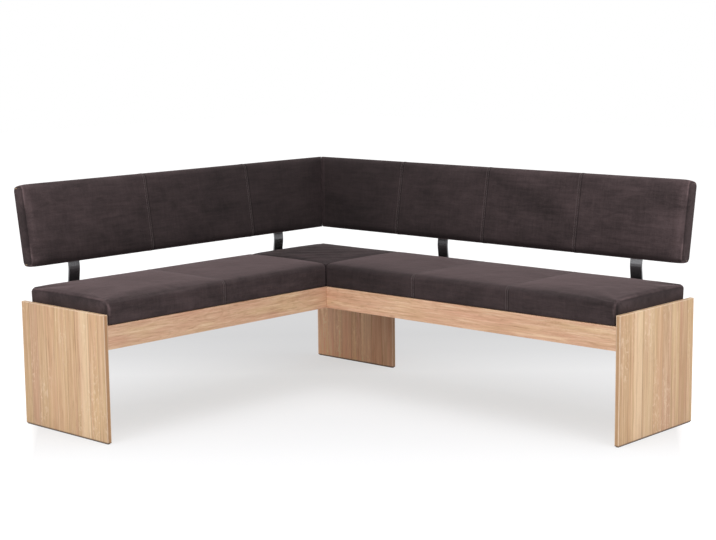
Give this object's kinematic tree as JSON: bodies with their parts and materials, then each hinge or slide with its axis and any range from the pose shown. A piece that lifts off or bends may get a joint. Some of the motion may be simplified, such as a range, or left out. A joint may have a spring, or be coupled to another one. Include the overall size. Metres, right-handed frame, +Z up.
{
  "type": "corner bench",
  "caption": "L-shaped corner bench with padded seats, reclined padded backrests on bent flat steel brackets, timber panel legs and shallow aprons.",
  "frame": {"origin": "centre of the bounding box in plan, on the floor", "axes": "+X along the long wing towards its free end, +Y towards the back of the long wing, +Z up"},
  "size_m": [1.811, 1.5572, 0.8495],
  "materials": {
    "oak": "pale oiled oak, glued from upright staves, matt",
    "plywood": "raw plywood, hidden inside the upholstery",
    "upholstery": "dark grey-brown suede-like microfibre with sewn channel seams",
    "foam": "upholstery foam, hidden inside the covers",
    "black_steel": "black satin powder coat on flat steel",
    "felt": "dark felt strip under each leg panel"
  },
  "bodies": {
    "root": {"leg_panel_long_end": "oak", "leg_panel_short_end": "oak", "leg_panel_corner": "oak", "apron_long": "oak", "apron_short": "oak", "rear_rail_long": "oak", "rear_rail_short": "oak", "cross_rail_long_corner": "oak", "cross_rail_long_1": "oak", "cross_rail_long_2": "oak", "end_cleat_long": "oak", "cross_rail_short_corner": "oak", "cross_rail_short_1": "oak", "end_cleat_short": "oak", "felt_strip_long_end": "felt", "felt_strip_short_end": "felt", "felt_strip_corner": "felt", "seat_cover_long": "upholstery", "seat_cover_short": "upholstery", "seat_cover_corner": "upholstery", "backrest_cover_long": "upholstery", "backrest_cover_short": "upholstery", "backrest_rear_panel_long": "upholstery", "backrest_rear_panel_short": "upholstery", "seat_foam_long": "foam", "seat_foam_short": "foam", "seat_foam_corner": "foam", "backrest_foam_long": "foam", "backrest_foam_short": "foam", "seat_board_long": "plywood", "seat_board_short": "plywood", "seat_board_corner": "plywood", "backrest_board_long": "plywood", "backrest_board_short": "plywood", "bracket_long_1": "black_steel", "bracket_long_2": "black_steel", "bracket_short_1": "black_steel", "bracket_short_2": "black_steel", "rail_screw_long_1a": "black_steel", "rail_screw_long_1b": "black_steel", "rail_screw_long_2a": "black_steel", "rail_screw_long_2b": "black_steel", "rail_screw_short_1a": "black_steel", "rail_screw_short_1b": "black_steel", "rail_screw_short_2a": "black_steel", "rail_screw_short_2b": "black_steel", "back_screw_long_1a": "black_steel", "back_screw_long_1b": "black_steel", "back_screw_long_2a": "black_steel", "back_screw_long_2b": "black_steel", "back_screw_short_1a": "black_steel", "back_screw_short_1b": "black_steel", "back_screw_short_2a": "black_steel", "back_screw_short_2b": "black_steel", "corner_bolt_1": "black_steel", "corner_bolt_2": "black_steel", "corner_bolt_3": "black_steel", "corner_bolt_4": "black_steel"}
  },
  "joints": []
}
